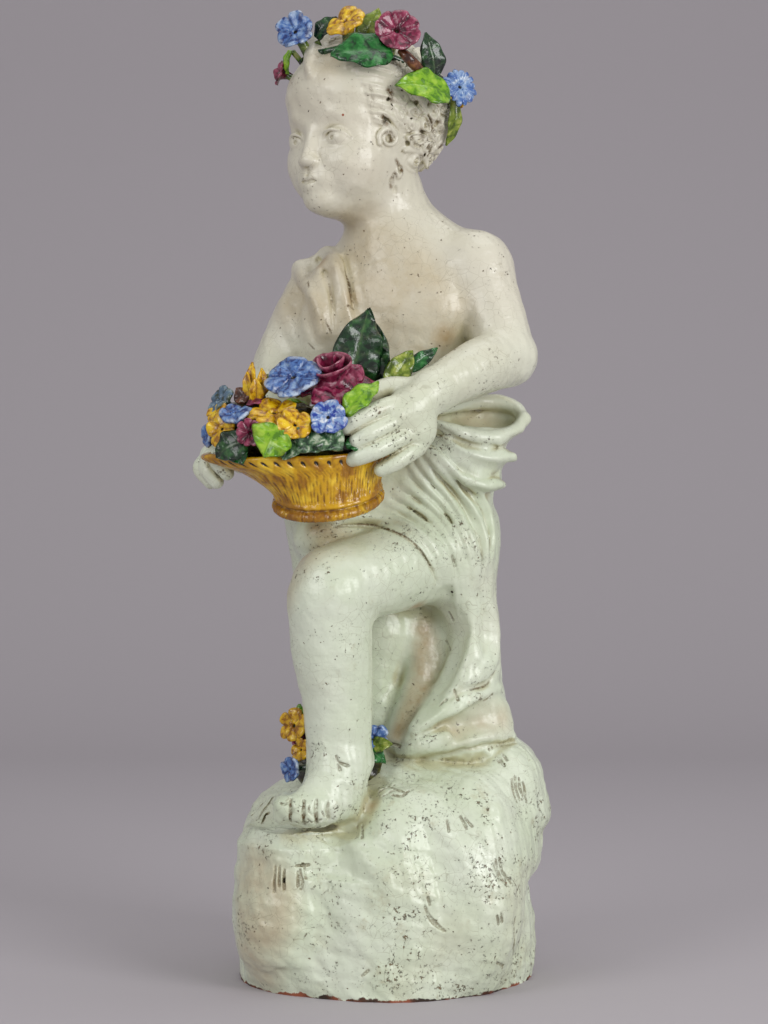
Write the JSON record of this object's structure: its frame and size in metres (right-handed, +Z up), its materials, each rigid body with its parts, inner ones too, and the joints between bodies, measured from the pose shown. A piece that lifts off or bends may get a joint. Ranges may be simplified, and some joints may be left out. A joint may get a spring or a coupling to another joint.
{
  "type": "faience putto figure",
  "caption": "Glazed earthenware figure of a standing draped child on a rock, crowned with flowers and holding an oval basket of flowers.",
  "frame": {"origin": "the middle of the flat underside of the rock", "axes": "+Z up, -Y towards the viewer of the pictured front, +X on that viewer's right"},
  "size_m": [0.2641, 0.2336, 0.721],
  "materials": {
    "tin_glaze": "cream tin glaze, crazed and glossy, with coloured glazes on the flowers and the basket"
  },
  "bodies": {
    "root": {"putto_figure": "tin_glaze"}
  },
  "joints": []
}
